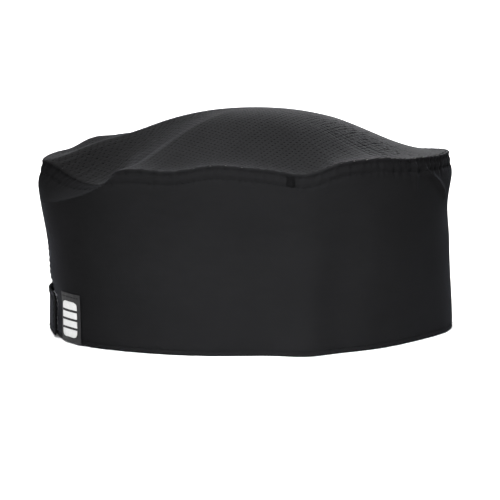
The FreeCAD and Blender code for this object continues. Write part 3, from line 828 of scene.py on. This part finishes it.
def hole_pattern():
    """The flat oval of mesh: points, triangles between the holes, and how high the cloth is at each point."""
    ring = np.radians(RIM_ANGLES)
    outline = np.stack([HALF_WIDTH * np.cos(ring), HALF_LENGTH * np.sin(ring)], -1)
    rings = [outline, outline * 0.997]
    rows = np.arange(-math.ceil(HALF_WIDTH / HOLE_ROW), math.ceil(HALF_WIDTH / HOLE_ROW) + 1)
    columns = np.arange(-math.ceil(HALF_LENGTH / HOLE_PITCH) - 1, math.ceil(HALF_LENGTH / HOLE_PITCH) + 2)
    row, column = (grid.ravel() for grid in np.meshgrid(rows, columns))
    centres = np.stack([row * HOLE_ROW, (column + (row % 2) / 2) * HOLE_PITCH], -1)
    reach = np.hypot(centres[:, 0] / HALF_WIDTH, centres[:, 1] / HALF_LENGTH)
    centres = centres[reach < 0.986]
    turn = (np.arange(HOLE_CORNERS) + 0.5) * 2 * math.pi / HOLE_CORNERS
    hole = np.stack([HOLE_WIDTH * np.cos(turn), HOLE_LENGTH * np.sin(turn)], -1)
    holes = (centres[:, None, :] + hole).reshape(-1, 2)
    between = [(0, HOLE_PITCH / 2), (HOLE_ROW / 2, HOLE_PITCH / 4), (HOLE_ROW / 2, -HOLE_PITCH / 4)]
    strands = [centres + np.array(step) for step in between]
    points = np.concatenate([*rings, holes, *strands])
    first_hole, first_strand = 2 * RIM_COLUMNS, 2 * RIM_COLUMNS + len(holes)
    hole_of = np.full(len(points), -1)
    hole_of[first_hole:first_strand] = np.repeat(np.arange(len(centres)), HOLE_CORNERS)
    relief = np.where(hole_of >= 0, -HOLE_SINK, 0.0)
    relief[first_strand + len(centres) :] = RIB
    hole_ids = np.arange(first_hole, first_strand).reshape(-1, HOLE_CORNERS)
    edges = np.stack([hole_ids, np.roll(hole_ids, -1, axis=1)], -1).reshape(-1, 2)
    outer_edge = np.stack([np.arange(RIM_COLUMNS), np.roll(np.arange(RIM_COLUMNS), -1)], -1)
    edges = np.concatenate([outer_edge, edges]).tolist()
    made = geometry.delaunay_2d_cdt((points / MM).tolist(), edges, [], 0, 1e-4, False)
    placed, triangles = np.array(made[0]) * MM, np.array(made[2])
    if len(placed) != len(points):
        raise RuntimeError("the pattern of holes has points that meet")
    owners = hole_of[triangles]
    in_hole = (owners[:, 0] >= 0) & (owners == owners[:, :1]).all(axis=1)
    return placed, triangles[~in_hole], relief


def make_crown():
    """The mesh dome with its real holes, and the edge of it that hangs down inside the seam."""
    flat, triangles, relief = hole_pattern()
    share = np.hypot(flat[:, 0] / HALF_WIDTH, flat[:, 1] / HALF_LENGTH)
    inside = np.minimum(1, 0.998 / np.maximum(share, 1e-9))
    step = 0.3 * MM
    out = normals(dome, flat[:, 0] * inside, flat[:, 1] * inside, (step, step))
    top = dome(flat[:, 0], flat[:, 1])
    outer = top + out * relief[:, None]
    inner = top - out * CROWN_CLOTH

    edge_bottom = low("crown_mesh").z
    rises = np.append(BAND_HEIGHT - np.array([0.4, 1.2, 3, 6]) * MM, edge_bottom)
    inner_depth = CROWN_DEPTH + CROWN_CLOTH
    skirt_outer = np.stack([rim(RIM_ANGLES, rise) for rise in rises])
    skirt_inner = np.stack([rim(RIM_ANGLES, rise, inner_depth) for rise in rises])
    inner[:RIM_COLUMNS] = rim(RIM_ANGLES, BAND_HEIGHT - CROWN_CLOTH, inner_depth)
    skirt_inner[0] = rim(RIM_ANGLES, BAND_HEIGHT - CROWN_CLOTH - 0.3 * MM, inner_depth)

    skirt_ids = len(flat) + np.arange(len(rises) * RIM_COLUMNS).reshape(len(rises), -1)
    ids = np.concatenate([np.arange(RIM_COLUMNS)[None], skirt_ids])
    right = np.roll(ids, -1, axis=1)
    skirt = np.stack([ids[1:], right[1:], right[:-1], ids[:-1]], -1).reshape(-1, 4)
    first, second, third = (flat[triangles[:, k]] for k in range(3))
    clockwise = np.cross(second - first, third - first) < 0
    triangles[clockwise] = triangles[clockwise][:, ::-1]
    outer = np.concatenate([outer, skirt_outer.reshape(-1, 3)])
    inner = np.concatenate([inner, skirt_inner.reshape(-1, 3)])
    points, faces = thicken(outer, inner, [triangles, skirt])
    hanging = np.stack([np.broadcast_to(RIM_ANGLES / 360 * TURN, skirt_ids.shape), skirt_outer[..., 2]], -1)
    uv = np.concatenate([flat[:, ::-1], hanging.reshape(-1, 2)]) / MM
    shape = points, faces, np.concatenate([uv, uv])
    crown = make_piece("crown", "crown_mesh", shape, MESH_BLACK, crisp=70)


# ---- the stitching ----


def sewn_ring(rise, depth, inwards=False, start=0.0, end=360.0):
    angle = np.arange(start, end + 0.01, 0.25)
    return on_surface(face, angle, rise, -depth, inwards)


def make_stitching():
    """Lines of stitches round the band: the needle thread outside and the bobbin thread inside."""
    both = [sewn_ring(TOPSTITCH_RISE, 0), sewn_ring(TOPSTITCH_RISE, BAND_DEPTH, True)]
    sew_piece("crown_topstitching", both)
    gap = float(mm_to_degrees(slit_half_width(HEM_STITCH_RISE) + 1.5 * MM))
    ends = {"start": SLIT_ANGLE + gap, "end": SLIT_ANGLE + 360 - gap}
    both = [sewn_ring(HEM_STITCH_RISE, 0, **ends), sewn_ring(HEM_STITCH_RISE, BAND_DEPTH, True, **ends)]
    sew_piece("hem_stitching", both)
    sew_piece("facing_stitching", [sewn_ring(FACING_STITCH_RISE, BAND_DEPTH, True)])

    rise = even(low("slit_stitching").z, SLIT_HEIGHT, 0.8 * MM)
    up = np.stack([SLIT_X - slit_half_width(rise) - EDGE_STITCH, rise], -1)
    turn = np.radians(np.arange(170, 5, -10))
    radius = SLIT_TOP + EDGE_STITCH
    over = np.stack([SLIT_X + radius * np.cos(turn), SLIT_HEIGHT + radius * np.sin(turn)], -1)
    down = np.stack([2 * SLIT_X - up[::-1, 0], up[::-1, 1]], -1)
    path = np.concatenate([up, over, down])
    angle, rise = angle_at(path[:, 0]), path[:, 1]
    lines = [on_surface(face, angle, rise, -depth, depth > 0) for depth in (0, BAND_DEPTH)]
    sew_piece("slit_stitching", lines)


def make_bartacks():
    """Short bars of dense thread at the ends of seams."""
    bartack("slit_bartack", 0.05 * MM, upright=False)
    bartack("strap_bartack", 0.45 * MM, upright=True)
    node = "topstitch_bartack"
    angle = 180 + math.degrees(math.asin(-middle_of(node, "y") / HALF_LENGTH))
    across = np.linspace(angle - 0.2, angle + 2.4, 7)
    lines = [on_surface(face, across, rise, 0.1 * MM) for rise in np.arange(*span(node, "z"), BAR_PITCH)]
    sew_piece(node, lines, stitch=4.0 * MM, gap=0, radius=0.26 * MM)


# ---- the strap ----

STRAP_TIP, STRAP_ROOT = low("strap_interlining").x - 0.4 * MM, high("closure_strap").x
STRAP_LOW, STRAP_HIGH = span("closure_strap", "z")
STRAP_THICKNESS = 1.1 * MM
STRAP_CLOTH = 0.35 * MM
SEWN_STANDOFF, TAPE_STANDOFF = 0.35 * MM, 1.1 * MM
CLIMB_START, CLIMB_END = 28 * MM, 9 * MM
CORNER = 1.5 * MM
EDGE_STITCH = 2.25 * MM  # from an edge to the stitches beside it


def strap_base(angle, rise):
    """The strap's inner face: on the band at its sewn end, over both tapes at its free end."""
    x = x_at(angle)
    standoff = SEWN_STANDOFF + TAPE_STANDOFF * smooth(CLIMB_START, CLIMB_END, x)
    return lifted(face, angle, rise, standoff)


def strip(x_from, x_to, z_from, z_to, round_edge, corner, step):
    """Angles, rises and the distance to the nearest edge of a strip at the back, from high x to low x. Its
    corners at low x are rounded."""
    xs = with_ends(x_to, x_from, step, round_edge)[::-1]
    zs = with_ends(z_from, z_to, step, round_edge)
    x, z = np.meshgrid(xs, zs)
    middle = (z_from + z_to) / 2
    half = (z_to - z_from) / 2
    narrow = 1 - rounded(x - x_to, corner) / half
    z = middle + (z - middle) * narrow
    near_side = half * narrow - np.abs(z - middle)
    edge = np.minimum(np.minimum(x - x_to, x_from - x), near_side)
    return angle_at(x), z, np.maximum(edge, 0)


def pad_between(place, angle, rise, edge, bottom, top, radius):
    """A closed strip between two heights above a surface, with its edges rounded."""
    fall = np.minimum(rounded(edge, radius), (top - bottom) / 2 * 0.98)
    outer = lifted(place, angle, rise, top - fall)
    inner = lifted(place, angle, rise, bottom + fall)
    return shell(outer, inner, flat_place(angle, rise), False)


def strap_sides(inset):
    return STRAP_ROOT - inset, STRAP_TIP + inset, STRAP_LOW + inset, STRAP_HIGH - inset


def strap_block(inset, edge, radius, step):
    """A closed strip as large as the strap, less an inset on every side."""
    grid = strip(*strap_sides(inset), edge, CORNER - inset, step)
    return pad_between(strap_base, *grid, inset, STRAP_THICKNESS - inset, radius)


def strap_ride(piece):
    """Bakes the piece's place into its points."""
    x = STRAP_ROOT
    start, end = (face(angle_at(x - d), 0.012) for d in (0.3 * MM, 3 * MM))
    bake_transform(piece)


def box_line(place, x_from, x_to, z_from, z_to, height, open_side=False):
    """A line of stitches round a rectangle of the strap, or round three of its sides."""
    path = [(x_from, z_from), (x_to, z_from), (x_to, z_to), (x_from, z_to)]
    if not open_side:
        path.append((x_from, z_from))
    path = corners(path)
    return on_surface(place, angle_at(path[:, 0]), path[:, 1], height)


def make_strap():
    """A sleeve of twill round a stiffener, sewn down at its root, with hook tape inside its free end."""
    sleeve = strap_block(0, 0.5 * MM, 0.5 * MM, 0.9 * MM)
    hollow = strap_block(STRAP_CLOTH, 0.2 * MM, 0.15 * MM, 1.5 * MM)
    shape = joined([sleeve, turned_out(hollow)])
    strap = make_piece("strap", "closure_strap", shape, TWILL_BLACK, body=None, crisp=60)
    strap_ride(strap)

    filling = strap_block(STRAP_CLOTH + LAYER_GAP, 0.1 * MM, 0.1 * MM, 1.5 * MM)
    node = "strap_interlining"
    strap_ride(make_piece("strap_stiffener", node, filling, INTERLINING, body=None))

    line = box_line(strap_base, *strap_sides(EDGE_STITCH), STRAP_THICKNESS)
    strap_ride(sew_piece("strap_stitching", [line], body=None))

    node = "hook_tape_stitching"
    sides = (high(node).x, STRAP_TIP + 3.75 * MM, *span(node, "z"))
    sew_piece(node, [box_line(strap_base, *sides, STRAP_THICKNESS, open_side=True)], body="strap")
    make_hook_tape()


# Stations along a hook: how far down and how far sideways, as shares of its height, and how thick it is.
HOOK_STATIONS = [(-0.2, 0, 1.2), (0.45, 0, 1), (0.85, 0.15, 0.95), (1, 0.45, 0.9), (0.8, 0.75, 0.6)]


def bent_hooks(x_range, z_range, pitch, foot, height):
    """Rows of little nylon hooks that stand on a tape and bend over at their ends."""
    xs, zs = even(*x_range, pitch), even(*z_range, pitch)
    x, z = (grid.ravel() for grid in np.meshgrid(xs, zs))
    angle = angle_at(x)
    base = lifted(strap_base, angle, z, foot)
    down = -normals(strap_base, angle, z, ROUND_THE_CAP)
    side = np.tile([0, 0, 1.0], (len(x), 1)) * np.where(np.arange(len(x)) % 2, 1, -1)[:, None]
    across = np.cross(down, side)
    around = 5
    ring = []
    for turn in np.arange(around) * 2 * math.pi / around:
        ring.append(across * math.cos(turn) + (side + down) * 0.7 * math.sin(turn))
    ring = np.stack(ring, 1) * 0.09 * MM
    rings = []
    for share, sideways, swell in HOOK_STATIONS:
        centre = base + down * share * height + side * sideways * height
        rings.append(centre[:, None, :] + ring * swell)
    return turned_out(tubes(np.stack(rings, 1)))


def make_hook_tape():
    """The hook tape under the strap's free end: a backing with hooks on it."""
    x_from, x_to = high("hook_tape").x, STRAP_TIP + EDGE_STITCH
    z_from, z_to = span("hook_tape", "z")
    foot = -LAYER_GAP - 0.25 * MM
    grid = strip(x_from, x_to, z_from, z_to, 0.1 * MM, CORNER, 1.5 * MM)
    backing = pad_between(strap_base, *grid, foot, -LAYER_GAP, 0.1 * MM)
    inset = 0.9 * MM
    x_range, z_range = (x_from - inset, x_to + inset), (z_from + inset, z_to - inset)
    shape = joined([backing, bent_hooks(x_range, z_range, 1.25 * MM, foot, 0.24 * MM)])
    make_piece("hooks", "hook_tape", shape, HOOK_NYLON, body="strap", crisp=60)


def pile(x_range, z_range, foot, count, seed):
    """Small loops of fibre that stand on the soft tape, leaning every way."""
    random = np.random.default_rng(seed)
    x = random.uniform(*sorted(x_range), count)
    z = random.uniform(*z_range, count)
    lean = random.uniform(0, 2 * math.pi, count)
    reach = random.uniform(0.25, 0.5, count) * MM
    tall = random.uniform(0.14, 0.27, count) * MM
    stations = []
    for share in np.arange(7) / 6:
        dx = (share - 0.5) * 2 * reach * np.cos(lean)
        dz = (share - 0.5) * 2 * reach * np.sin(lean)
        height = foot + tall * math.sin(math.pi * share) - 0.03 * MM
        stations.append(lifted(face, angle_at(x + dx), z + dz, height))
    line = np.stack(stations, 1)
    along = np.gradient(line, axis=1)
    out = normals(face, angle_at(x), z, ROUND_THE_CAP)[:, None, :] + 0 * along
    side = unit(np.cross(along, out))
    ring = [side * math.cos(t) + out * math.sin(t) for t in np.arange(4) * math.pi / 2]
    return tubes(line[:, :, None, :] + np.stack(ring, 2) * 0.035 * MM)


def make_loop_tape():
    """The soft tape on the band, which the strap's hooks grip."""
    (x_to, x_from), (z_from, z_to) = span("loop_tape", "x"), span("loop_tape", "z")
    top = 0.55 * MM
    grid = strip(x_from, x_to, z_from, z_to, 0.15 * MM, CORNER, 1.2 * MM)
    backing = pad_between(face, *grid, 0.2 * MM, top, 0.15 * MM)
    inset = 0.5 * MM
    loops = pile((x_to + inset, x_from - inset), (z_from + inset, z_to - inset), top, 900, 5)
    make_piece("loops", "loop_tape", joined([backing, loops]), LOOP_PILE, crisp=60)
    node = "loop_tape_stitching"
    sides = (*span(node, "x")[::-1], *span(node, "z"))
    sew_piece(node, [box_line(face, *sides, top + 0.01 * MM)])


# ---- the labels ----


def make_tag():
    """A woven tag folded round the hem, with a plain picture block and a line of stitches along its top."""
    left, right = span("woven_tag", "x")
    cloth, standoff = 0.4 * MM, 0.35 * MM
    under = 0.55 * MM  # how far the tag's fold may reach below the hem
    radius = 0.9 * MM
    leaf_rises = even(0, high("woven_tag").z, 0.8 * MM)
    leaf_rises = leaf_rises[leaf_rises >= radius]
    # Each station is a height above the band's face and a rise, from the front leaf's top to the back leaf's.
    front = [(standoff, z) for z in leaf_rises[::-1]]
    back = [(-BAND_DEPTH - standoff, z) for z in leaf_rises]
    centre, reach = -BAND_DEPTH / 2, BAND_DEPTH / 2 + standoff
    turn = np.linspace(0, math.pi, 9)[1:-1]
    fold = [(centre + reach * math.cos(t), radius - (radius - 0.02 * MM) * math.sin(t)) for t in turn]
    line = np.array([*front, *fold, *back])
    steps = np.gradient(line, axis=0)
    far = line + unit(np.stack([-steps[:, 1], steps[:, 0]], -1)) * cloth
    far[:, 1] = np.maximum(far[:, 1], -under)
    angles = np.linspace(angle_at(right), angle_at(left), 26)

    def leaf(stations):
        return np.stack([lifted(face, angles, rise, height) for height, rise in stations])

    near_points, far_points = leaf(line), leaf(far)
    distance = np.concatenate([[0], np.cumsum(run_lengths(line))])
    across, down = np.meshgrid((angles - angles[0]) / 360 * TURN, -distance)
    flat = np.stack([across, down], -1)
    shape = shell(far_points[::-1], near_points[::-1], flat[::-1], False)
    tag = make_piece("tag", "woven_tag", shape, LABEL_BLACK, crisp=50)

    height = standoff + cloth
    make_emblem(height)
    node = "tag_stitching"
    rise = middle_of(node, "z")
    across = np.linspace(*angle_at(span(node, "x")[::-1]), 40)
    outside = on_surface(face, across, rise, height)
    inside = on_surface(face, across, rise, -BAND_DEPTH - height, True)
    sew_piece(node, [outside, inside], stitch=1.9 * MM, gap=0.5 * MM)


def make_emblem(height):
    """A plain white block woven proud of the tag, with three dark gaps across it."""
    (x_to, x_from), (z_from, z_to) = span("tag_emblem", "x"), span("tag_emblem", "z")
    gaps, gap, corner = 3, 1.3 * MM, 2.4 * MM
    xs = even(x_to, x_from, 0.4 * MM)[::-1]
    centre, half = (x_from + x_to) / 2, (x_from - x_to) / 2
    gap_middles = np.linspace(z_from, z_to, gaps + 2)[1:-1]
    starts, ends = [z_from, *(gap_middles + gap / 2)], [*(gap_middles - gap / 2), z_to]
    shapes = []
    for start, end in zip(starts, ends):
        x, z = np.meshgrid(xs, even(start, end, 0.5 * MM))
        near_end = np.minimum(z - z_from, z_to - z)
        angle = angle_at(centre + (x - centre) * (1 - rounded(near_end, corner) / half))
        outer = lifted(face, angle, z, height + 0.25 * MM)
        inner = lifted(face, angle, z, height - 0.05 * MM)
        shapes.append(shell(outer, inner, flat_place(angle, z), False))
    make_piece("emblem", "tag_emblem", joined(shapes), LABEL_WHITE, crisp=40)


def make_care_label():
    """A satin ribbon that hangs by its top edge inside the band and curls a little at its free end."""
    node = "care_label"
    x, half = middle_of(node, "x"), high(node).y
    z_low, z_high = span(node, "z")
    cloth = high(node).x - low(node).x

    def hanging(y, z):
        drop = (z_high - z) / (z_high - z_low)
        curl = 1.6 * MM * drop**2 + 0.35 * MM * np.sin(y / half * 2.2 + 0.6) * drop
        return np.stack(np.broadcast_arrays(x - curl, y, z), -1)

    y, z = np.meshgrid(even(-half, half, 0.8 * MM), even(z_low, z_high, 0.8 * MM))
    edge = np.minimum(np.minimum(half - np.abs(y), z - z_low), z_high - z)
    seam = 0.12 * MM * (edge < 1.2 * MM)
    steps = (0.2 * MM, 0.2 * MM)
    outer = lifted(hanging, y, z, cloth / 2 + seam * 0.5, steps)
    inner = lifted(hanging, y, z, -cloth / 2 - seam * 0.5, steps)
    shape = shell(outer, inner, np.stack([y, z], -1), False)
    label = make_piece("care_ribbon", node, shape, CARE_WHITE, body=node, crisp=50)

    node = "care_label_stitching"
    y = np.linspace(*span(node, "y"), 60)
    path = np.stack([x + 0 * y, y, middle_of(node, "z") + 0 * y], -1)
    inwards = np.tile([-1.0, 0, 0], (len(y), 1))
    sew_piece(node, [(path, inwards)], stitch=2.0 * MM)


# ---- the studio ----

CAMERA_AZIMUTH, CAMERA_PITCH = 264.03, 7.80
CAMERA_PLACE = (-1.5315, 0.1610, 0.252)
CAMERA_LENS = 221.6


def make_camera():
    data = bpy.data.cameras.new("camera")
    data.lens = CAMERA_LENS
    data.clip_start, data.clip_end = 0.05, 60
    camera = add_object("camera", data)
    camera.location = CAMERA_PLACE
    camera.rotation_euler = (math.radians(90 - CAMERA_PITCH), 0, math.radians(CAMERA_AZIMUTH))
    bpy.context.scene.camera = camera


def aim(light, place, target):
    light.location = place
    x, y, z = np.array(target) - np.array(place)
    light.rotation_euler = (math.atan2(math.hypot(x, y), -z), 0, math.atan2(y, x) - math.pi / 2)


def area_light(name, place, target, size, watts):
    data = bpy.data.lights.new(name, "AREA")
    data.shape, data.size, data.size_y = "RECTANGLE", *size
    data.energy = watts
    aim(add_object(name, data), place, target)


def sun(name, direction, strength, spread):
    """A lamp far away in a direction, as soft as a sky light that is spread degrees wide."""
    data = bpy.data.lights.new(name, "SUN")
    data.energy, data.angle = strength, math.radians(spread)
    x, y, z = direction
    turn = (math.atan2(math.hypot(x, y), z), 0, math.atan2(y, x) + math.pi / 2)
    add_object(name, data).rotation_euler = turn


def spot(name, place, target, spread, watts):
    """A soft round pool of light, spread degrees wide."""
    data = bpy.data.lights.new(name, "SPOT")
    data.energy, data.spot_size, data.spot_blend = watts, math.radians(spread), 1.0
    data.shadow_soft_size, data.color = 0.1, (0.96, 0.97, 1.0)
    aim(add_object(name, data), place, target)


def make_studio():
    """A pale floor, soft lights above and behind, and a small pool of light from beside the camera."""
    size, under = 14.0, 0.2 * MM
    outline = [(-size, -size), (size, -size), (size, size), (-size, size)]
    mesh = bpy.data.meshes.new("floor")
    mesh.from_pydata([(x, y, -under) for x, y in outline], [], [(0, 1, 2, 3)])
    floor = add_object("floor", mesh)
    paper = Shader("paper", (0.9, 0.9, 0.9), 0.9, specular=0.1)
    grain = paper.noise(paper.space(1.0), 0.02, 2.0)
    floor.data.materials.append(paper.feed(paper.tone(grain, 0.99, 1.01)))

    world = bpy.data.worlds.new("studio")
    world.use_nodes = True
    sky = world.node_tree.nodes["Background"].inputs
    sky["Color"].default_value, sky["Strength"].default_value = (1, 1, 1, 1), 0.22
    bpy.context.scene.world = world

    sun("overhead", (0.3, 0.1, 1.0), 4.4, 55)
    area_light("behind", (1.2, -0.5, 0.5), (0, 0, 0.1), (0.8, 0.4), 13)
    area_light("behind_left", (0.8, 1.1, 0.5), (0, 0.05, 0.1), (0.5, 0.4), 7)
    spot("fill", (-1.12, 0.3, 0.8), (-0.08, -0.002, 0.038), 6.5, 720)
    bpy.context.scene.view_settings.view_transform = "Standard"


make_camera()
make_band()
make_crown()
make_stitching()
make_bartacks()
make_strap()
make_loop_tape()
make_tag()
make_care_label()
make_studio()
